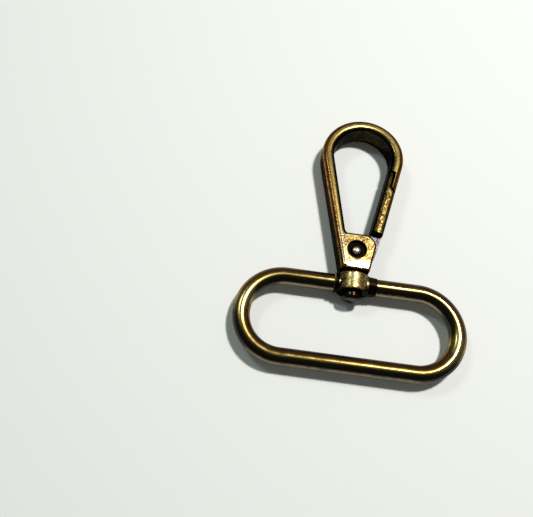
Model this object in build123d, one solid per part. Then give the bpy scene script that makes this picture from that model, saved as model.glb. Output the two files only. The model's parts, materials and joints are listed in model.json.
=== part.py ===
from build123d import *
import math
import os

# Swivel snap hook: a die-cast trigger hook that turns on a post in the collar of an oval
# webbing loop.  Every piece is drawn about the collar's centre, +Y along the swivel axis
# towards the crook and +Z up through the rivet, and is moved to the row frame on export.
# Millimetres and degrees throughout.

# ---------------------------------------------------------------- webbing loop
WIRE_D = 3.3                # round wire
LOOP_INNER_LENGTH = 37.6    # for webbing sold as 38 mm (1.5 inch)
LOOP_INNER_WIDTH = 12.4
WIRE_END_X = 1.9            # each wire end stops this far from the swivel axis

# ---------------------------------------------------------------- collar
COLLAR_D = 6.3
COLLAR_LENGTH = 3.6
COLLAR_EDGE = 0.35          # rounding of the barrel's rims
STUB_D = 3.56               # short socket where the wire goes in, on -X
BEAD_D = 3.95               # bead round the short socket's mouth
BEAD_X = 3.25               # where the bead starts
BEAD_WIDTH = 0.4
BEAD_EDGE = 0.12
FLARE_D = 4.5               # long flared socket on +X, measured at the swivel axis
FLARE_X = 4.5               # where its mouth is
FLARE_MOUTH_D = 3.56
BORE_D = 2.5                # running bore for the post

# ---------------------------------------------------------------- swivel post
POST_D = 2.4
POST_HEAD_D = 3.9
POST_HEAD_LENGTH = 1.35
POST_HEAD_EDGE = 0.7
POST_DEPTH = 1.6            # length pressed into the hub
END_PLAY = 0.15             # axial play of the collar on the post

# ---------------------------------------------------------------- hook body
DEPTH = 5.4                 # thickness along Z of the hook and the gate
CROOK_Y = 27.9              # centre of the crook
CROOK_R = 8.4               # outside radius of the crook
ARM_WIDTH = 2.4             # crook and gate
SPINE_ROOT_WIDTH = 2.1      # the spine narrows towards the hub
SPINE_ANGLE = 12.9          # lean of the spine from the swivel axis
GATE_ANGLE = 11.5           # lean of the gate's side from the swivel axis
CROWN = 1.0                 # rounding of the long edges
HUB_BOTTOM_Y = 2.3
HUB_TOP_Y = 9.8
HUB_FOOT_X = 2.75           # right side of the hub at its bottom
HUB_SHOULDER_X = 3.75       # right side of the hub at its widest
HUB_CORNER_R = 2.4
HUB_EDGE = 0.5
HUB_INSET = 0.8             # the flat ear starts this far inside the spine's side
ROOT_FILLET = 1.2           # hollow between the spine and the hub's top

# ---------------------------------------------------------------- pivot
PIVOT_Y = 6.4
RIVET_D = 1.5
RIVET_HEAD_D = 2.15
RIVET_CREST = 0.1           # the dome stays this far below the ear's face
RIVET_EDGE_HEIGHT = 0.2     # straight edge under the dome
RECESS_D = 3.8              # round recess in each ear for the rivet's head
RECESS_DEPTH = 0.85

# ---------------------------------------------------------------- gate
SLOT_WIDTH = 2.2
SLOT_MOUTH_X = -1.0         # the slot is open towards the gate's side from here
SLOT_OVERRUN = 0.1          # it is cut this far past the hub's top
TONGUE_WIDTH = 1.9
TONGUE_HEEL_R = 2.05
HEEL_GAP = 0.2              # between the heel and the slot's floor
TONGUE_BACK = 1.1           # the tongue widens this much towards its heel
TONGUE_SIDE = (4.15, 7.0)   # corners of the tongue outside the ears, on the gate's side
TONGUE_FOOT = (3.45, 5.0)
TONGUE_TOE = (2.2, 4.4)
TONGUE_HEEL_ANGLE = -80     # where the heel's round meets the line to the toe
TONGUE_ROOT = 0.4           # the tongue reaches this far into the finger
PIVOT_GAP = 0.06            # radial running clearance on the rivet
GATE_SIDE_X = 0.4           # the ring is the gate's, not the spine's, from here
SHOULDER_R = 5.0            # distance of the gate's shoulder from the pivot
TIP_R = 18.95               # distance of the gate's tip from the pivot
NOSE_WIDTH = 0.95           # lip of the crook that the tip closes against
NOSE_END = 6.05             # length of the lip below the crook's tangent point
NOSE_SLANT = 0.65           # its end is longer by this on the outside
JOINT_GAP = 0.55            # gap all round the nose joint

# ---------------------------------------------------------------- gate spring
SPRING_WIRE_D = 0.3
SPRING_MEAN_R = 1.2
SPRING_PITCH = 0.33
SPRING_TURNS = 2.25
SPRING_FLOOR_GAP = 0.1      # under the lowest turn
FIXED_LEG = 1.7             # runs to -X and bears on the slot's floor
GATE_LEG = 2.5              # runs to +Y and bears on the gate's inner side
POCKET_R = 1.6
POCKET_DEPTH = 1.25
WINDOW_RISE = 0.4           # the fixed leg's way out reaches this far above the pivot

# ---------------------------------------------------------------- worked out
WIRE_R = WIRE_D / 2
BEND_R = LOOP_INNER_WIDTH / 2 + WIRE_R          # bend radius on the wire's centreline
HALF_STRAIGHT = (LOOP_INNER_LENGTH - LOOP_INNER_WIDTH) / 2
HALF = DEPTH / 2
PIVOT = (0, PIVOT_Y)
POST_UNDER_HEAD_Y = -COLLAR_LENGTH / 2 - END_PLAY
TOP_Y = CROOK_Y + CROOK_R
BOTTOM_Y = -2 * BEND_R - WIRE_R
BIG = 60.0                  # larger than the part, for cutting shapes
OVERSHOOT = 3.0             # a cut runs this far past the surface it opens


def polar(centre, radius, degrees):
    """The point at an angle and a distance from a centre."""
    angle = math.radians(degrees)
    return (centre[0] + radius * math.cos(angle), centre[1] + radius * math.sin(angle))


def prism(face, height):
    """A flat shape thickened equally above and below the middle plane."""
    return extrude(face, height / 2, both=True)


def slab(x_range, y_range, z_range):
    """A box given by its limits."""
    (x0, x1), (y0, y1), (z0, z1) = x_range, y_range, z_range
    middle = ((x0 + x1) / 2, (y0 + y1) / 2, (z0 + z1) / 2)
    return Pos(*middle) * Box(x1 - x0, y1 - y0, z1 - z0)


def rod(radius, start, end, axis):
    """A cylinder along X, Y or Z between two positions on that axis."""
    middle = (start + end) / 2
    turn = {"X": Rot(0, 90, 0), "Y": Rot(90, 0, 0), "Z": Rot(0, 0, 0)}[axis]
    place = {"X": Pos(middle, 0, 0), "Y": Pos(0, middle, 0), "Z": Pos(0, 0, middle)}[axis]
    return place * turn * Cylinder(radius, abs(end - start))


CROOK = (0, CROOK_Y)
ARM_UP = (math.sin(math.radians(GATE_ANGLE)), math.cos(math.radians(GATE_ANGLE)))
ARM_IN = (-ARM_UP[1], ARM_UP[0])
ARM_TOP = polar(CROOK, CROOK_R, -GATE_ANGLE)    # outside of the arm leaves the crook here
SPINE_TOP = polar(CROOK, CROOK_R, 180 + SPINE_ANGLE)


def on_arm(down, inward):
    """A point measured down the gate's outside line and inwards from it."""
    return (
        ARM_TOP[0] - ARM_UP[0] * down + ARM_IN[0] * inward,
        ARM_TOP[1] - ARM_UP[1] * down + ARM_IN[1] * inward,
    )


def spine_x(y, inset=0.0):
    """X of the spine's outside line at a height, moved inwards by inset."""
    lean = math.radians(SPINE_ANGLE)
    return SPINE_TOP[0] + (SPINE_TOP[1] - y) * math.tan(lean) + inset / math.cos(lean)


def arm_x(y):
    """X of the gate's outside line at a height."""
    return ARM_TOP[0] - (ARM_TOP[1] - y) * math.tan(math.radians(GATE_ANGLE))


def outer_teardrop():
    """Outline of the whole closed hook, from the hub's foot over the crook."""
    foot_left = (spine_x(HUB_BOTTOM_Y), HUB_BOTTOM_Y)
    foot_right = (arm_x(HUB_BOTTOM_Y), HUB_BOTTOM_Y)
    return make_face([
        Line(foot_left, SPINE_TOP),
        ThreePointArc(SPINE_TOP, (0, TOP_Y), ARM_TOP),
        Line(ARM_TOP, foot_right),
        Line(foot_right, foot_left),
    ])


def inner_teardrop():
    """Outline of the eye, between the spine, the crook, the gate and the hub."""
    inner_r = CROOK_R - ARM_WIDTH
    root = (spine_x(HUB_TOP_Y, SPINE_ROOT_WIDTH), HUB_TOP_Y)
    reach = math.hypot(root[0], root[1] - CROOK_Y)
    bearing = math.degrees(math.atan2(root[1] - CROOK_Y, root[0]))
    left_angle = bearing - math.degrees(math.acos(inner_r / reach))
    left_top = polar(CROOK, inner_r, left_angle)
    right_top = polar(CROOK, inner_r, -GATE_ANGLE)
    drop = (right_top[1] - HUB_TOP_Y) / ARM_UP[1]
    right_root = (right_top[0] - ARM_UP[0] * drop, HUB_TOP_Y)
    eye = make_face([
        Line(root, left_top),
        ThreePointArc(left_top, (0, CROOK_Y + inner_r), right_top),
        Line(right_top, right_root),
        Line(right_root, root),
    ])
    corner = min(eye.vertices(), key=lambda v: (v.X - root[0]) ** 2 + (v.Y - root[1]) ** 2)
    return fillet(corner, ROOT_FILLET)


def closed_hook():
    """The crowned hook as one ring, before the gate is parted from it."""
    ring = prism(outer_teardrop() - inner_teardrop(), DEPTH)
    rims = ring.faces().group_by(Axis.Z)[-1].edges() + ring.faces().group_by(Axis.Z)[0].edges()
    return fillet(rims, CROWN)


def nose_zone(gap):
    """The crook's lip, grown by a gap, as a cutting shape for either side of the joint."""
    inner = NOSE_WIDTH + gap
    return make_face(Polyline([
        on_arm(-OVERSHOOT, -OVERSHOOT),
        on_arm(NOSE_END + gap, -OVERSHOOT),
        on_arm(NOSE_END + gap, 0),
        on_arm(NOSE_END - NOSE_SLANT + gap, inner),
        on_arm(-OVERSHOOT, inner),
        on_arm(-OVERSHOOT, -OVERSHOOT),
    ]))


def right_half():
    """Everything on the gate's side of the eye."""
    return Pos(BIG / 2 + GATE_SIDE_X, BIG / 2) * Rectangle(BIG, BIG)


def ear_outline():
    """Outline of the two ears, whose corner is rounded on the gate's side."""
    bottom_left = (spine_x(HUB_BOTTOM_Y, HUB_INSET), HUB_BOTTOM_Y)
    top_left = (spine_x(HUB_TOP_Y, HUB_INSET), HUB_TOP_Y)
    corner_low = (HUB_SHOULDER_X, HUB_TOP_Y - HUB_CORNER_R)
    corner_mid = polar((HUB_SHOULDER_X - HUB_CORNER_R, corner_low[1]), HUB_CORNER_R, 45)
    corner_high = (HUB_SHOULDER_X - HUB_CORNER_R, HUB_TOP_Y)
    return make_face([
        Line(bottom_left, (HUB_FOOT_X, HUB_BOTTOM_Y)),
        Line((HUB_FOOT_X, HUB_BOTTOM_Y), corner_low),
        ThreePointArc(corner_low, corner_mid, corner_high),
        Line(corner_high, top_left),
        Line(top_left, bottom_left),
    ])


def gate_slot():
    """Space between the ears for the gate's tongue, open at the top and on the gate's side."""
    clear = TONGUE_HEEL_R + HEEL_GAP
    pocket = Pos(*PIVOT) * Circle(clear)
    mouth_low = PIVOT_Y - clear
    mouth_middle = (BIG / 2 + SLOT_MOUTH_X, (mouth_low + BIG) / 2)
    mouth = Pos(*mouth_middle) * Rectangle(BIG, BIG - mouth_low)
    ear_height = HUB_TOP_Y - mouth_low + 2 * SLOT_OVERRUN
    ears_only = Pos(0, (mouth_low + HUB_TOP_Y) / 2) * Rectangle(BIG, ear_height)
    return prism((pocket + mouth) & ears_only, SLOT_WIDTH)


def rivet_recesses():
    """The rivet's hole through both ears, and the round recess for each head."""
    cuts = Pos(*PIVOT, 0) * Cylinder(RIVET_D / 2, DEPTH + OVERSHOOT)
    for side in (1, -1):
        recess = Cylinder(RECESS_D / 2, RECESS_DEPTH)
        cuts += Pos(0, PIVOT_Y, side * (HALF - RECESS_DEPTH / 2)) * recess
    return cuts


def make_hook_body():
    """Spine, crook and lip, with the hub and its two ears."""
    tip_clear = Pos(*PIVOT) * Circle(TIP_R + JOINT_GAP)
    gate_side = (tip_clear & right_half()) - nose_zone(0)
    parted = closed_hook() - prism(gate_side, BIG)
    hub = prism(ear_outline(), DEPTH)
    rims = hub.faces().group_by(Axis.Z)[-1].edges() + hub.faces().group_by(Axis.Z)[0].edges()
    hub = fillet(rims, HUB_EDGE)
    body = parted + hub
    body -= gate_slot()
    body -= rivet_recesses()
    body -= rod(POST_D / 2, HUB_BOTTOM_Y - OVERSHOOT, HUB_BOTTOM_Y + POST_DEPTH, "Y")
    return body


def tongue_outline():
    """The gate's tongue: a round heel on the rivet, flush with the gate's two sides above."""
    heel = Pos(*PIVOT) * Circle(TONGUE_HEEL_R)
    root_y = PIVOT_Y + SHOULDER_R + TONGUE_ROOT
    inner_top_x = arm_x(root_y) - ARM_WIDTH / ARM_UP[1]
    blade = make_face(Polyline([
        (inner_top_x, root_y),
        (inner_top_x - TONGUE_BACK, PIVOT_Y),
        polar(PIVOT, TONGUE_HEEL_R, TONGUE_HEEL_ANGLE),
        TONGUE_TOE,
        TONGUE_FOOT,
        TONGUE_SIDE,
        (arm_x(HUB_TOP_Y), HUB_TOP_Y),
        (arm_x(root_y), root_y),
        (inner_top_x, root_y),
    ]))
    return heel + blade


def gate_finger():
    """The long part of the gate, parted from the ring at the nose and at the shoulder."""
    above = make_face(Polyline([
        (-BIG * ARM_UP[1], PIVOT_Y + SHOULDER_R + BIG * ARM_UP[0]),
        (BIG * ARM_UP[1], PIVOT_Y + SHOULDER_R - BIG * ARM_UP[0]),
        (BIG * ARM_UP[1], PIVOT_Y + BIG),
        (-BIG * ARM_UP[1], PIVOT_Y + BIG),
        (-BIG * ARM_UP[1], PIVOT_Y + SHOULDER_R + BIG * ARM_UP[0]),
    ]))
    zone = (Pos(*PIVOT) * Circle(TIP_R)) & right_half() & above
    return closed_hook() & prism(zone - nose_zone(JOINT_GAP), BIG)


def spring_pocket():
    """Round pocket in the tongue's underside, with a way out for each leg of the spring."""
    floor_z = -TONGUE_WIDTH / 2
    pocket = Pos(0, PIVOT_Y, floor_z + POCKET_DEPTH / 2) * Cylinder(POCKET_R, POCKET_DEPTH)
    window = slab(
        (-TONGUE_HEEL_R - OVERSHOOT, 0),
        (PIVOT_Y - POCKET_R, PIVOT_Y + WINDOW_RISE),
        (floor_z, floor_z + POCKET_DEPTH),
    )
    leg_way = slab(
        (SPRING_MEAN_R - SPRING_WIRE_D, SPRING_MEAN_R + SPRING_WIRE_D),
        (PIVOT_Y, PIVOT_Y + TONGUE_HEEL_R),
        (floor_z, floor_z + POCKET_DEPTH),
    )
    return pocket + window + leg_way


def make_gate():
    """The trigger: finger, shoulder and tongue in one casting."""
    tongue = prism(tongue_outline(), TONGUE_WIDTH)
    gate = gate_finger() + tongue
    gate -= Pos(*PIVOT, 0) * Cylinder(RIVET_D / 2 + PIVOT_GAP, DEPTH + OVERSHOOT)
    gate -= spring_pocket()
    return gate


def make_gate_rivet():
    """A rivet with a domed head sunk in the recess of each ear."""
    rivet = rod(RIVET_D / 2, -HALF + RECESS_DEPTH, HALF - RECESS_DEPTH, "Z")
    dome_rise = RECESS_DEPTH - RIVET_CREST - RIVET_EDGE_HEIGHT
    head_r = RIVET_HEAD_D / 2
    dome_r = (head_r**2 + dome_rise**2) / (2 * dome_rise)
    edge = Pos(0, 0, RIVET_EDGE_HEIGHT / 2) * Cylinder(head_r, RIVET_EDGE_HEIGHT)
    dome = Pos(0, 0, RIVET_EDGE_HEIGHT + dome_rise - dome_r) * Sphere(dome_r)
    dome &= Pos(0, 0, RIVET_EDGE_HEIGHT + dome_rise / 2) * Cylinder(head_r, dome_rise)
    head = edge + dome
    rivet += Pos(0, 0, HALF - RECESS_DEPTH) * head
    rivet += Pos(0, 0, -HALF + RECESS_DEPTH) * Rot(180, 0, 0) * head
    return Pos(0, PIVOT_Y, 0) * rivet


def make_gate_spring():
    """Torsion spring round the rivet: one leg on the slot's floor, one behind the gate."""
    floor_z = -TONGUE_WIDTH / 2 + SPRING_WIRE_D / 2 + SPRING_FLOOR_GAP
    helix = Rot(0, 0, -90) * Helix(SPRING_PITCH, SPRING_PITCH * SPRING_TURNS, SPRING_MEAN_R)
    fixed_leg = Line((helix @ 0) - (helix % 0) * FIXED_LEG, helix @ 0)
    gate_leg = Line(helix @ 1, (helix @ 1) + (helix % 1) * GATE_LEG)
    path = Wire([fixed_leg, helix, gate_leg])
    section = Plane(origin=path @ 0, z_dir=path % 0) * Circle(SPRING_WIRE_D / 2)
    return Pos(0, PIVOT_Y, floor_z) * sweep(section, path=path, is_frenet=True)


def make_swivel_post():
    """Headed post, pressed into the hub, that the collar turns on."""
    shank = rod(POST_D / 2, POST_UNDER_HEAD_Y, HUB_BOTTOM_Y + POST_DEPTH, "Y")
    end_y = POST_UNDER_HEAD_Y - POST_HEAD_LENGTH
    head = rod(POST_HEAD_D / 2, end_y, POST_UNDER_HEAD_Y, "Y")
    head = fillet(head.edges().group_by(Axis.Y)[0], POST_HEAD_EDGE)
    return shank + head


def make_swivel_collar():
    """Barrel on the post, with a short beaded socket and a long flared one for the wire."""
    half_length = COLLAR_LENGTH / 2
    barrel = rod(COLLAR_D / 2, -half_length, half_length, "Y")
    rims = barrel.edges().filter_by(GeomType.CIRCLE)
    barrel = fillet(rims, COLLAR_EDGE)
    bead_end = -BEAD_X - BEAD_WIDTH
    bead = rod(BEAD_D / 2, bead_end, -BEAD_X, "X")
    bead = fillet(bead.edges().filter_by(GeomType.CIRCLE), BEAD_EDGE)
    stub = rod(STUB_D / 2, -BEAD_X - BEAD_WIDTH / 2, 0, "X") + bead
    cone = Cone(FLARE_D / 2, FLARE_MOUTH_D / 2, FLARE_X)
    flare = Pos(FLARE_X / 2, 0, 0) * Rot(0, 90, 0) * cone
    flare &= slab((0, FLARE_X), (-half_length, half_length), (-FLARE_D, FLARE_D))
    collar = barrel + stub + flare
    collar -= rod(BORE_D / 2, -COLLAR_LENGTH, COLLAR_LENGTH, "Y")
    for side in (-1, 1):
        collar -= rod(WIRE_R, side * WIRE_END_X, side * (FLARE_X + OVERSHOOT), "X")
    return collar


def make_loop_wire():
    """Oval loop of round wire whose two ends meet in the collar."""
    low_y = -2 * BEND_R
    bend_y = -BEND_R
    path = Wire([
        Line((WIRE_END_X, 0), (HALF_STRAIGHT, 0)),
        ThreePointArc((HALF_STRAIGHT, 0), (HALF_STRAIGHT + BEND_R, bend_y), (HALF_STRAIGHT, low_y)),
        Line((HALF_STRAIGHT, low_y), (-HALF_STRAIGHT, low_y)),
        ThreePointArc((-HALF_STRAIGHT, low_y), (-HALF_STRAIGHT - BEND_R, bend_y), (-HALF_STRAIGHT, 0)),
        Line((-HALF_STRAIGHT, 0), (-WIRE_END_X, 0)),
    ])
    section = Plane(origin=(WIRE_END_X, 0, 0), z_dir=(1, 0, 0)) * Circle(WIRE_R)
    return sweep(section, path=path)


MAKERS = {
    "hook_body": make_hook_body,
    "gate": make_gate,
    "gate_rivet": make_gate_rivet,
    "gate_spring": make_gate_spring,
    "swivel_post": make_swivel_post,
    "swivel_collar": make_swivel_collar,
    "loop_wire": make_loop_wire,
}

os.makedirs("parts", exist_ok=True)
to_row_frame = Pos(0, -(TOP_Y + BOTTOM_Y) / 2, COLLAR_D / 2)
for node, make in MAKERS.items():
    export_step(to_row_frame * make(), f"parts/{node}.step")
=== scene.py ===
import json
import math

import bmesh
import bpy
from mathutils import Matrix, Vector


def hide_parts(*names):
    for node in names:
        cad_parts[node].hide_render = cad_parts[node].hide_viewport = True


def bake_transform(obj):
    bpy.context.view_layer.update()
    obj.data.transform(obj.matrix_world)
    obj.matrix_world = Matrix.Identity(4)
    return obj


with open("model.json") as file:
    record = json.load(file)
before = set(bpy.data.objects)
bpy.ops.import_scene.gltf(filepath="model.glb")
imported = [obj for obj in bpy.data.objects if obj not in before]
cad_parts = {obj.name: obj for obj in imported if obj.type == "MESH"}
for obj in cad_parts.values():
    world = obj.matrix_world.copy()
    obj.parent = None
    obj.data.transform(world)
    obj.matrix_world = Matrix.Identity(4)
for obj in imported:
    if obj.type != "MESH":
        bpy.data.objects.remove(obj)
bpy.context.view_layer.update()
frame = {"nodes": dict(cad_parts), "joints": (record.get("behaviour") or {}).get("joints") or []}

MM = 0.001

# ------------------------------------------------------------------ places, from the frame
JOINT = {joint["name"]: joint for joint in frame["joints"]}
PIVOT = Vector(JOINT["gate_pivot"]["pos_m"])
SWIVEL = Vector(JOINT["swivel"]["pos_m"])
EYE_CENTRE = SWIVEL + Vector((0.0, 22.0, 0.0)) * MM      # middle of the hook's eye
MIDPLANE = (0.0, 0.0, SWIVEL.z)                          # the parting plane of every casting

IN_PLAN = (1000.0, 1000.0, 0.0)         # metres to mm, leaving out Z
IN_HEIGHT = (0.0, 0.0, 1000.0)          # metres to mm, Z alone
ROUND_POST = (1000.0, 0.0, 1000.0)      # metres to mm, leaving out the post's length

# distances in mm, each pair from where a finish starts to where it is full
HUB_FOOT = 2.3                  # the hub's lower edge, above the swivel's centre
HUB_MOTTLING = (12.5, 9.0)      # above the swivel's centre
FOOT_WEAR_AND_HIGHLIGHT_SPAN = (2.1, 0.9)       # above the hub's foot; wear and a painted highlight
HUB_EDGE_X = -1.95              # the ear's edge beside the spine, at the foot
EDGE_WEAR_AND_HIGHLIGHT_SPAN = (1.0, 0.5)       # in from that edge; wear and a painted highlight
RECESS_STAIN = (2.03, 1.90)     # from the rivet's axis, inside its recess
BARE_TONGUE = (1.15, 1.05)      # above or below the parting plane
TONGUE_NECK = (3.3, 4.2)        # from the rivet's axis, where the tongue leaves the ears
SHORT_SOCKET = (-2.5, -2.8)     # along the collar, off the barrel; painted shade in the groove
BEAD = (-3.18, -3.3)            # along the collar, out of the groove
LONG_SOCKET = (2.5, 2.9)        # along the collar, off the barrel; stain and painted shade
FLASH_LINE = (0.09, 0.03)       # either side of the parting plane

# the same, as shares of facing straight up or down
CREST_UP = (0.965, 0.997)       # the top of the rounded arms
CROWN_UP = (0.30, 0.55)         # above the wall
# as shares of facing out from the eye's middle
EDGE_OUT = (0.34, 0.04)         # inside the brown edge of the face
OUTER_HALF_OUT = (0.05, 0.26)
# as shares of facing from the loop to the crook
BELOW_TOP = (0.45, 0.05)
# and of the mottling, which is itself the middle of what the noise gives
UNEVEN = (0.15, 0.55)
MOTTLE_NOISE = (0.36, 0.64)
WEAR_NOISE = (0.3, 0.7)

GRAIN_SHARE, PATCH_SHARE = 0.72, 0.28       # of the mottling
CROOKWARD_RUB_AND_LIGHT, OUTWARD_RUB_AND_LIGHT = 0.8, 0.7       # how much each way of facing is painted lighter, partly as wear and partly as painted light and reflection
FULLY_RUBBED_AND_LIT = 0.7
CREST_STRENGTH, OUTER_HALF_STRENGTH, EDGE_STRENGTH = 0.5, 0.75, 0.3
FLASH_HEIGHT = 0.8              # against the grain's

# sizes of pattern, mm
PATCH_SIZE = 1.3                # rubbed patches on a casting
CLOUD_SIZE = 1.8                # drifts of stain and of the painted shading on the loop's wire
DRAWN_SIZE = 0.28               # the wire's fine unevenness
RIVET_WEAR_SIZE = 0.5
STREAK_SIZE = 0.25              # on the spring

SPINE_LEAN = math.radians(12.9)
SAME_POINT = 1e-6               # m, corners of the mesh this near are one corner
WIRE_SHADING_WAY = (0.25, 0.97, 0.0)      # the wire's brown side faces this way, its painted shade the other way

# ------------------------------------------------------------------ colours of the finish, and of its painted light and shade
EDGE_TINT = "#7d6a50"       # the stain keeps grazing reflections dim and brown
# painted highlights: a pale line along each outer side; the crest and the foot below are partly
# wear and partly painted highlight
PAINTED_EDGE_HIGHLIGHT = "#efe6c0"
CREST_WEAR_AND_HIGHLIGHT = "#cdb872"
FOOT_WEAR_AND_HIGHLIGHT = "#e4dcb8"
RECESS_BLACK = "#040302"
# the collar's groove is painted black as shade; the bead and the flare are dark where stained and
# in painted shade and lighter where worn and lit, the bead's light partly a painted reflection
GROOVE_SHADE_BLACK = "#0a0603"
BEAD_SHADE_AND_REFLECTION = ("#120b06", "#b5ab94")       # stained and in painted shade, rubbed and with a painted reflection
FLARE_STAIN_AND_SHADE = ("#0d0905", "#4b3c1e")

# each a ramp from the stain's dark specks to what is rubbed most
MOTTLED = [(0.18, "#2e1b09"), (0.38, "#755426"), (0.52, "#9d884a"), (0.78, "#dacf98")]
SMOOTHER = [(0.05, "#3a2510"), (0.30, "#765c2a"), (0.55, "#96803e"), (0.90, "#beae6a")]
HUB_MOTTLED = [(0.15, "#301c09"), (0.36, "#5a4221"), (0.52, "#706134"), (0.82, "#9a8f5a")]
GATE_MOTTLED = [(0.18, "#241706"), (0.42, "#60481e"), (0.58, "#88743a"), (0.85, "#c4b47a")]
# the crown's outer half: red-brown, partly stain and partly painted reflection
CROWN_STAIN_AND_REFLECTION = [(0.12, "#46260b"), (0.45, "#8f5a25"), (0.88, "#b07c3a")]
# the outer sides: brown, partly stain and partly painted reflection
BROWN_SIDE = [(0.12, "#2e1e0d"), (0.45, "#6c4f29"), (0.88, "#947544")]
UMBER_SIDE = [(0.12, "#22160b"), (0.45, "#5f4423"), (0.88, "#836738")]
# the inner walls: near black, partly stain and partly painted shade; the second ramp darker still
INNER_SIDE = [(0.15, "#100f09"), (0.50, "#201f14"), (0.90, "#3d3a24")]
DARKEST_SHADE_SIDE = [(0.15, "#080503"), (0.50, "#120c06"), (0.90, "#2e2210")]
BARE_ZINC = [(0.0, "#0d0a06"), (0.30, "#322e32"), (0.8, "#67626a")]     # dark near the ears and in specks, to bare
BRIGHT_STEEL = [(0.3, "#8d8a84"), (0.7, "#c3c4c6")]                     # straw to cool grey
# from the middle of the head out to its rim; the rivet's pale middle is partly wear and partly a
# painted highlight
RIVET_WEAR_AND_HIGHLIGHT = [(0.0, "#f4ecd2"), (0.5, "#b39a64"), (1.0, "#120b04")]
POST_BRASS = [(0.0, "#3a2414"), (0.6, "#4a2c18"), (1.0, "#1a0e06")]
# round the wire, from its black side over the brass on top to its brown side: a pale painted
# reflection at the black side's edge, painted shade down that side, a paler painted highlight on
# top, and a brown that is partly stain and partly painted reflection
WIRE_STAIN_AND_PAINTED_LIGHT = [
    (0.03, "#857860"), (0.105, "#2a2115"), (0.19, "#0e0b04"), (0.38, "#363212"),
    (0.455, "#95864c"), (0.50, "#a2925a"), (0.56, "#826734"), (0.74, "#74542c"),
    (0.97, "#38260f")]
# the painted highlight line's strength, against how far a side has turned over into the crown
PAINTED_HIGHLIGHT_LINE = [(0.06, "#000000"), (0.20, "#ffffff"), (0.34, "#ffffff"), (0.52, "#000000")]


# ------------------------------------------------------------------ material helpers
SHARE, UNDER, OVER = 0, 6, 7        # the inputs of a Mix node for colours


def paint(hex_colour):
    """An sRGB hex colour as the linear values a shader takes."""
    out = []
    for start in (1, 3, 5):
        c = int(hex_colour[start:start + 2], 16) / 255
        out.append(c / 12.92 if c <= 0.04045 else ((c + 0.055) / 1.055) ** 2.4)
    return (*out, 1.0)


def per_metre(size_mm):
    """Texture scale that gives features of a size."""
    return 1.0 / (size_mm * MM)


def span(start, full, low=0.0, high=1.0):
    """The inputs that make Map Range go from low at start to high where it is full."""
    return {1: start, 2: full, 3: low, 4: high}


def add(tree, kind, inputs=None, stops=(), **options):
    """Adds a node with its options, its ramp's stops and its inputs.  An input is a value, a
    hex colour, an output to link, or a node, whose first live output is linked."""
    node = tree.nodes.new("ShaderNode" + kind)
    for name, value in options.items():
        setattr(node, name, value)
    for index, (position, hex_colour) in enumerate(stops):
        ramp = node.color_ramp.elements
        stop = ramp[index] if index < 2 else ramp.new(position)
        stop.position, stop.color = position, paint(hex_colour)
    for name, value in (inputs or {}).items():
        if isinstance(value, bpy.types.Node):
            value = next(output for output in value.outputs if output.enabled)
        if isinstance(value, bpy.types.NodeSocket):
            tree.links.new(value, node.inputs[name])
        else:
            node.inputs[name].default_value = paint(value) if isinstance(value, str) else value
    return node


def new_material(name):
    """A named node material and its empty tree."""
    material = bpy.data.materials.new(name)
    material.use_nodes = True
    material.node_tree.nodes.clear()
    return material, material.node_tree


def reach_from_axis(tree, position, centre, scale):
    """Distance in mm from a line through centre, along the direction scaled to nothing."""
    offset = add(tree, "VectorMath", {0: position, 1: centre}, operation="SUBTRACT")
    squashed = add(tree, "VectorMath", {0: offset, 1: scale}, operation="MULTIPLY")
    return add(tree, "VectorMath", {0: squashed}, operation="LENGTH")


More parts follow.
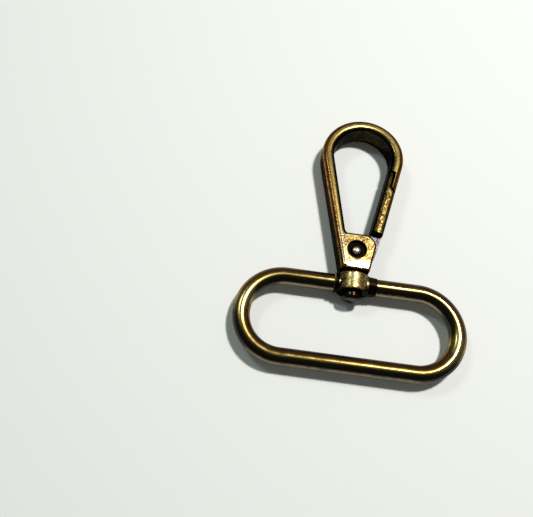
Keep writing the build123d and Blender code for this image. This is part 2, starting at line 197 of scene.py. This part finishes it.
# ------------------------------------------------------------------ castings
def hub_wear_and_painted_light(tree, colour, position, face, mottle, upward, outwards):
    """The wear of the hook's arms and of the hub's flat ears, with painted highlights on the crest
    and the foot and a painted reflection down the crown's outer half.
    """
    # the crest of the rounded arms is painted palest, partly wear and partly a painted highlight
    crest = add(tree, "MapRange", {0: upward, **span(*CREST_UP, high=CREST_STRENGTH)},
                interpolation_type="SMOOTHSTEP")
    colour = add(tree, "Mix", {SHARE: crest, UNDER: colour, OVER: CREST_WEAR_AND_HIGHLIGHT}, data_type="RGBA")
    # and their outer half is red-brown above the wall, partly stain and partly a painted
    # reflection
    outer_half = add(tree, "MapRange", {
        0: outwards, **span(*OUTER_HALF_OUT, high=OUTER_HALF_STRENGTH)})
    on_crown = add(tree, "MapRange", {0: upward, **span(*CROWN_UP)})
    outer_half = add(tree, "Math", {0: outer_half, 1: on_crown}, operation="MULTIPLY")
    stain_and_reflection = add(tree, "ValToRGB", {0: mottle}, CROWN_STAIN_AND_REFLECTION)
    colour = add(tree, "Mix", {SHARE: outer_half, UNDER: colour, OVER: stain_and_reflection}, data_type="RGBA")
    # the flat ears are more mottled than the crook
    height = add(tree, "SeparateXYZ", {0: position}).outputs["Y"]
    start, full = (SWIVEL.y + above * MM for above in HUB_MOTTLING)
    on_hub = add(tree, "MapRange", {0: height, **span(start, full)})
    on_hub = add(tree, "Math", {0: on_hub, 1: face}, operation="MULTIPLY")
    patches = add(tree, "ValToRGB", {0: mottle}, HUB_MOTTLED)
    colour = add(tree, "Mix", {SHARE: on_hub, UNDER: colour, OVER: patches}, data_type="RGBA")
    # painted brightest at their foot, partly wear and partly a painted highlight
    foot_y = SWIVEL.y + HUB_FOOT * MM
    start, full = (foot_y + above * MM for above in FOOT_WEAR_AND_HIGHLIGHT_SPAN)
    wear_and_highlight = add(tree, "MapRange", {0: height, **span(start, full)},
                  interpolation_type="SMOOTHSTEP")
    # and less so along the edge beside the spine, which leans with it
    lean = math.tan(SPINE_LEAN)
    across = add(tree, "VectorMath", {0: position, 1: (1.0, lean, 0.0)}, operation="DOT_PRODUCT")
    edge_x = SWIVEL.x + HUB_EDGE_X * MM + foot_y * lean
    start, full = (edge_x + inside * MM for inside in EDGE_WEAR_AND_HIGHLIGHT_SPAN)
    beside = add(tree, "MapRange", {0: across, **span(start, full, high=EDGE_STRENGTH)})
    wear_and_highlight = add(tree, "Math", {0: wear_and_highlight, 1: beside}, operation="MAXIMUM")
    uneven = add(tree, "MapRange", {0: mottle, **span(*UNEVEN)})
    for share in (on_hub, uneven):
        wear_and_highlight = add(tree, "Math", {0: wear_and_highlight, 1: share}, operation="MULTIPLY")
    colour = add(tree, "Mix", {SHARE: wear_and_highlight, UNDER: colour, OVER: FOOT_WEAR_AND_HIGHLIGHT}, data_type="RGBA")
    # the stain fills the rivet's recess
    reach = reach_from_axis(tree, position, PIVOT, IN_PLAN)
    sunk = add(tree, "MapRange", {0: reach, **span(*RECESS_STAIN)})
    return add(tree, "Mix", {SHARE: sunk, UNDER: colour, OVER: RECESS_BLACK}, data_type="RGBA")


def collar_wear_and_shade(tree, colour, position, rubbed_and_lit):
    """The groove beside the bead is painted black as shade, the bead is painted bright where it is
    worn and lit, partly a painted reflection, and the long socket is stained and in painted shade."""
    along = add(tree, "SeparateXYZ", {0: position}).outputs["X"]
    bead = add(tree, "Mix", {SHARE: rubbed_and_lit, UNDER: BEAD_SHADE_AND_REFLECTION[0], OVER: BEAD_SHADE_AND_REFLECTION[1]},
               data_type="RGBA")
    flare = add(tree, "Mix", {SHARE: rubbed_and_lit, UNDER: FLARE_STAIN_AND_SHADE[0], OVER: FLARE_STAIN_AND_SHADE[1]},
                data_type="RGBA")
    # painted shade in the groove, painted shade and reflection on the bead, stain and painted
    # shade on the long socket
    for ends, finish in ((SHORT_SOCKET, GROOVE_SHADE_BLACK), (BEAD, bead), (LONG_SOCKET, flare)):
        start, full = (end * MM for end in ends)
        share = add(tree, "MapRange", {0: along, **span(start, full)})
        colour = add(tree, "Mix", {SHARE: share, UNDER: colour, OVER: finish}, data_type="RGBA")
    return colour


def tongue_wear(tree, colour, position, face, mottle):
    """The tongue wears down to bare zinc where it slides between the ears."""
    height = reach_from_axis(tree, position, MIDPLANE, IN_HEIGHT)
    bare = add(tree, "MapRange", {0: height, **span(*BARE_TONGUE)})
    bare = add(tree, "Math", {0: bare, 1: face}, operation="MULTIPLY")
    reach = reach_from_axis(tree, position, PIVOT, IN_PLAN)
    neck = add(tree, "MapRange", {0: reach, **span(*TONGUE_NECK)})
    neck = add(tree, "Math", {0: neck, 1: mottle}, operation="MULTIPLY")
    zinc = add(tree, "ValToRGB", {0: neck}, BARE_ZINC)
    return add(tree, "Mix", {SHARE: bare, UNDER: colour, OVER: zinc}, data_type="RGBA")


def antique_casting(name, centre, face_range, face_ramp, outer_ramp, inner_ramp, roughness,
                    grain_size, hub=False, bare_tongue=False, beaded=False):
    """Zinc casting, brass plated, stained brown-black and worn back by tumbling. The eye sees
    mottled brass on what faces up or down, brown down the outer sides and almost black on the
    inner walls, partly stain and partly painted shade and reflection by which way a side faces,
    and a fine tumbled grain that breaks the light up."""
    material, tree = new_material(name)
    place = add(tree, "TexCoord")
    position, direction = place.outputs["Object"], place.outputs["Normal"]
    normal = add(tree, "SeparateXYZ", {0: direction})
    upward = add(tree, "Math", {0: normal.outputs["Z"]}, operation="ABSOLUTE")
    face = add(tree, "MapRange", {0: upward, **span(*face_range)},
               interpolation_type="SMOOTHSTEP")

    # fine grain, rubbed patches, and dark specks where the stain stayed
    grain = add(tree, "TexNoise", {"Vector": position, "Scale": per_metre(grain_size),
                                   "Detail": 4.0, "Roughness": 0.6})
    patch = add(tree, "TexNoise", {"Vector": position, "Scale": per_metre(PATCH_SIZE),
                                   "Detail": 3.0, "Roughness": 0.55})
    mottle = add(tree, "Math", {0: grain, 1: GRAIN_SHARE}, operation="MULTIPLY")
    mottle = add(tree, "Math", {0: patch, 1: PATCH_SHARE, 2: mottle},
                 operation="MULTIPLY_ADD")
    mottle = add(tree, "MapRange", {0: mottle, **span(*MOTTLE_NOISE)})
    face_colour = add(tree, "ValToRGB", {0: mottle}, face_ramp)
    outer_side = add(tree, "ValToRGB", {0: mottle}, outer_ramp)
    inner_side = add(tree, "ValToRGB", {0: mottle}, inner_ramp)
    rough = add(tree, "MapRange", {0: mottle, **span(0.0, 1.0, *roughness)})

    # the sides: brown where they face away from the centre and the loop, near black on the walls
    # towards either; partly stain and wear, partly painted shade and reflection by which way they
    # face
    outwards = add(tree, "VectorMath", {0: position, 1: centre}, operation="SUBTRACT")
    outwards = add(tree, "VectorMath", {0: outwards, 1: IN_PLAN}, operation="MULTIPLY")
    outwards = add(tree, "VectorMath", {0: outwards}, operation="NORMALIZE")
    outwards = add(tree, "VectorMath", {0: outwards, 1: direction}, operation="DOT_PRODUCT")
    rubbed_and_lit = add(tree, "Math", {0: normal.outputs["Y"], 1: CROOKWARD_RUB_AND_LIGHT},
                 operation="MULTIPLY")
    rubbed_and_lit = add(tree, "Math", {0: outwards, 1: OUTWARD_RUB_AND_LIGHT, 2: rubbed_and_lit},
                 operation="MULTIPLY_ADD")
    rubbed_and_lit = add(tree, "MapRange", {0: rubbed_and_lit, **span(0.0, FULLY_RUBBED_AND_LIT)},
                 interpolation_type="SMOOTHSTEP")
    side = add(tree, "Mix", {SHARE: rubbed_and_lit, UNDER: inner_side, OVER: outer_side}, data_type="RGBA")
    # a fine painted highlight line where each outer side turns over into the crown
    line = add(tree, "ValToRGB", {0: upward}, PAINTED_HIGHLIGHT_LINE)
    below_top = add(tree, "MapRange", {0: normal.outputs["Y"], **span(*BELOW_TOP)})
    for share in (rubbed_and_lit, below_top, mottle):
        line = add(tree, "Math", {0: line, 1: share}, operation="MULTIPLY")
    side = add(tree, "Mix", {SHARE: line, UNDER: side, OVER: PAINTED_EDGE_HIGHLIGHT}, data_type="RGBA")

    if hub:
        # the brown of the outer sides comes up over the edge of the face
        inside_edge = add(tree, "MapRange", {0: outwards, **span(*EDGE_OUT)},
                          interpolation_type="SMOOTHSTEP")
        face = add(tree, "Math", {0: face, 1: inside_edge}, operation="MULTIPLY")
    colour = add(tree, "Mix", {SHARE: face, UNDER: side, OVER: face_colour}, data_type="RGBA")
    if hub:
        colour = hub_wear_and_painted_light(tree, colour, position, face, mottle, upward, outwards)
    if beaded:
        colour = collar_wear_and_shade(tree, colour, position, rubbed_and_lit)
    if bare_tongue:
        colour = tongue_wear(tree, colour, position, face, mottle)

    # a hair-thin flash line round every side, where the halves of the mould met
    off_parting = reach_from_axis(tree, position, MIDPLANE, IN_HEIGHT)
    flash = add(tree, "MapRange", {0: off_parting, **span(*FLASH_LINE)})
    relief = add(tree, "Math", {0: flash, 1: FLASH_HEIGHT, 2: grain}, operation="MULTIPLY_ADD")
    bump = add(tree, "Bump", {"Height": relief, "Strength": 0.42, "Distance": 0.035 * MM})
    metal = add(tree, "BsdfPrincipled", {
        "Base Color": colour, "Roughness": rough, "Normal": bump, "Metallic": 1.0,
        "Coat Weight": 0.08, "Coat Roughness": 0.10, "Specular Tint": EDGE_TINT})
    add(tree, "OutputMaterial", {"Surface": metal})
    return material


# ------------------------------------------------------------------ wire, rivets and spring
def antique_wire(name):
    """Drawn steel wire, brass plated, stained and lacquered. The eye sees a smooth bar with one
    crisp line of light and olive brass on top, where the brass is painted paler as a highlight;
    down the side nearer the hook's crook a red-brown that is partly stain and partly painted
    reflection; and down the other painted shade, almost black, with a pale painted reflection at
    its edge."""
    material, tree = new_material(name)
    place = add(tree, "TexCoord")
    position = place.outputs["Object"]
    cloud = add(tree, "TexNoise", {"Vector": position, "Scale": per_metre(CLOUD_SIZE),
                                   "Detail": 4.0, "Roughness": 0.6})
    fine = add(tree, "TexNoise", {"Vector": position, "Scale": per_metre(DRAWN_SIZE),
                                  "Detail": 3.0, "Roughness": 0.55})
    # the wire's colour follows which way it faces: painted shade, highlight and reflection, with
    # some stain
    facing = add(tree, "VectorMath", {0: place.outputs["Normal"], 1: WIRE_SHADING_WAY},
                 operation="DOT_PRODUCT")
    drift = add(tree, "Math", {0: cloud, 1: 0.30, 2: -0.15}, operation="MULTIPLY_ADD")
    facing = add(tree, "Math", {0: facing, 1: drift}, operation="ADD")
    shade = add(tree, "MapRange", {0: facing, **span(-1.0, 1.0)})
    colour = add(tree, "ValToRGB", {0: shade}, WIRE_STAIN_AND_PAINTED_LIGHT)
    rough = add(tree, "MapRange", {0: cloud, **span(*WEAR_NOISE, 0.28, 0.18)})
    bump = add(tree, "Bump", {"Height": fine, "Strength": 0.10, "Distance": 0.02 * MM})
    metal = add(tree, "BsdfPrincipled", {
        "Base Color": colour, "Roughness": rough, "Normal": bump, "Metallic": 1.0,
        "Coat Weight": 0.5, "Coat Roughness": 0.06, "Specular Tint": EDGE_TINT})
    add(tree, "OutputMaterial", {"Surface": metal})
    return material


def stained_rivet(name, centre, scale, bright_reach, ramp):
    """Steel, brass plated and stained. The eye sees a head that is brown-black towards its rim,
    with a small bright spot on the rivet's crown, partly worn bright and partly a painted
    highlight, and plain brown on the post's."""
    material, tree = new_material(name)
    position = add(tree, "TexCoord").outputs["Object"]
    reach = reach_from_axis(tree, position, centre, scale)
    wear = add(tree, "TexNoise", {"Vector": position, "Scale": per_metre(RIVET_WEAR_SIZE),
                                  "Detail": 4.0, "Roughness": 0.6})
    ragged = add(tree, "Math", {0: wear, 1: 0.5, 2: -0.25}, operation="MULTIPLY_ADD")
    edge = add(tree, "Math", {0: reach, 1: ragged}, operation="ADD")
    share = add(tree, "MapRange", {0: edge, **span(*bright_reach)})
    colour = add(tree, "ValToRGB", {0: share}, ramp)
    rough = add(tree, "MapRange", {0: wear, **span(*WEAR_NOISE, 0.20, 0.34)})
    bump = add(tree, "Bump", {"Height": wear, "Strength": 0.18, "Distance": 0.03 * MM})
    metal = add(tree, "BsdfPrincipled", {
        "Base Color": colour, "Roughness": rough, "Normal": bump, "Metallic": 1.0,
        "Coat Weight": 0.4, "Coat Roughness": 0.08, "Specular Tint": EDGE_TINT})
    add(tree, "OutputMaterial", {"Surface": metal})
    return material


def spring_steel(name):
    """Bright drawn spring wire.  The eye sees cool grey metal with a faint straw tint."""
    material, tree = new_material(name)
    position = add(tree, "TexCoord").outputs["Object"]
    streak = add(tree, "TexNoise", {"Vector": position, "Scale": per_metre(STREAK_SIZE),
                                    "Detail": 3.0})
    colour = add(tree, "ValToRGB", {0: streak}, BRIGHT_STEEL)
    rough = add(tree, "MapRange", {0: streak, **span(*WEAR_NOISE, 0.22, 0.38)})
    metal = add(tree, "BsdfPrincipled", {"Base Color": colour, "Roughness": rough,
                                         "Metallic": 1.0})
    add(tree, "OutputMaterial", {"Surface": metal})
    return material


def dress(node, material):
    """Gives a CAD node its finish."""
    piece = frame["nodes"][node]
    piece.data.materials.clear()
    piece.data.materials.append(material)


dress("hook_body", antique_casting(
    "antique brass hook casting", EYE_CENTRE, face_range=(0.80, 0.98), face_ramp=SMOOTHER,
    outer_ramp=BROWN_SIDE, inner_ramp=INNER_SIDE, roughness=(0.34, 0.19), grain_size=0.30,
    hub=True))
dress("gate", antique_casting(
    "antique brass gate casting", EYE_CENTRE, face_range=(0.70, 0.95), face_ramp=GATE_MOTTLED,
    outer_ramp=UMBER_SIDE, inner_ramp=INNER_SIDE, roughness=(0.42, 0.28), grain_size=0.26,
    bare_tongue=True))
dress("swivel_collar", antique_casting(
    "antique brass collar casting", SWIVEL, face_range=(0.58, 0.82), face_ramp=MOTTLED,
    outer_ramp=UMBER_SIDE, inner_ramp=DARKEST_SHADE_SIDE, roughness=(0.42, 0.26), grain_size=0.24,
    beaded=True))
dress("loop_wire", antique_wire("antique brass plated wire"))
dress("gate_rivet", stained_rivet(
    "stained rivet with worn and highlighted crown", PIVOT, IN_PLAN, bright_reach=(0.55, 1.0),
    ramp=RIVET_WEAR_AND_HIGHLIGHT))
dress("swivel_post", stained_rivet(
    "dark stained post", SWIVEL, ROUND_POST, bright_reach=(0.0, 1.9), ramp=POST_BRASS))


def wound_spring(material):
    """The torsion spring, whose low leg stays with the hook and high leg goes with the gate, and
    whose turns wind up as the gate opens: a merged, smooth-shaded copy of the CAD spring is put in
    its place and the CAD node is hidden. The copy itself stays still."""
    bm = bmesh.new()
    bm.from_mesh(frame["nodes"]["gate_spring"].data)
    bmesh.ops.remove_doubles(bm, verts=bm.verts, dist=SAME_POINT)
    bmesh.ops.recalc_face_normals(bm, faces=bm.faces)
    mesh = bpy.data.meshes.new("wound_spring")
    bm.to_mesh(mesh)
    bm.free()
    mesh.polygons.foreach_set("use_smooth", [True] * len(mesh.polygons))
    mesh.materials.append(material)
    spring = bpy.data.objects.new("wound_spring", mesh)
    bpy.context.collection.objects.link(spring)
    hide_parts("gate_spring")
    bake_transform(spring)


wound_spring(spring_steel("bright spring steel"))


# ------------------------------------------------------------------ floor
def paper_floor(side, colour):
    """A plain pale sheet of paper under the part, sides in metres."""
    material, tree = new_material("pale matt paper")
    paper = add(tree, "BsdfPrincipled", {"Base Color": colour, "Roughness": 0.95})
    add(tree, "OutputMaterial", {"Surface": paper})
    bpy.ops.mesh.primitive_plane_add(size=side)
    floor = bpy.context.object
    floor.name = "floor"
    floor.data.materials.append(material)


paper_floor(side=2.0, colour="#f5fbfa")


# ------------------------------------------------------------------ light and camera
def area_light(name, direction, distance, size, power, colour):
    """A square lamp that faces the part."""
    lamp = bpy.data.lights.new(name, "AREA")
    lamp.size = size
    lamp.energy = power
    lamp.color = paint(colour)[:3]
    holder = bpy.data.objects.new(name, lamp)
    bpy.context.collection.objects.link(holder)
    holder.location = Vector(direction).normalized() * distance
    holder.rotation_euler = (-holder.location).to_track_quat("-Z", "Y").to_euler()


area_light("key", (0.26, 0.26, 1.0), distance=0.45, size=0.042, power=1.66, colour="#fff9f4")
area_light("left_window", (-0.6, 0.4, 1.0), distance=0.7, size=0.13, power=0.52,
           colour="#f2fff6")

world = bpy.data.worlds.new("studio")
bpy.context.scene.world = world
world.use_nodes = True
world.node_tree.nodes["Background"].inputs["Color"].default_value = paint("#f2f4ee")
world.node_tree.nodes["Background"].inputs["Strength"].default_value = 0.14

CAMERA_AT = Vector((-17.8, -50.83, 110.3)) * MM
LOOK_AT = Vector((-17.0, -5.13, 0.0)) * MM
PICTURE_TURN = math.radians(6.95)
camera_data = bpy.data.cameras.new("camera")
camera_data.lens = 40.4
camera_data.sensor_width = 36.0
camera_data.clip_start = 0.005
camera = bpy.data.objects.new("camera", camera_data)
bpy.context.collection.objects.link(camera)
back = (CAMERA_AT - LOOK_AT).normalized()
up_hint = Vector((-math.sin(PICTURE_TURN), math.cos(PICTURE_TURN), 0.0))
right = up_hint.cross(back).normalized()
up = back.cross(right)
turn = Matrix((right, up, back)).transposed().to_4x4()
camera.matrix_world = Matrix.Translation(CAMERA_AT) @ turn
bpy.context.scene.camera = camera
bpy.context.scene.view_settings.view_transform = "Standard"
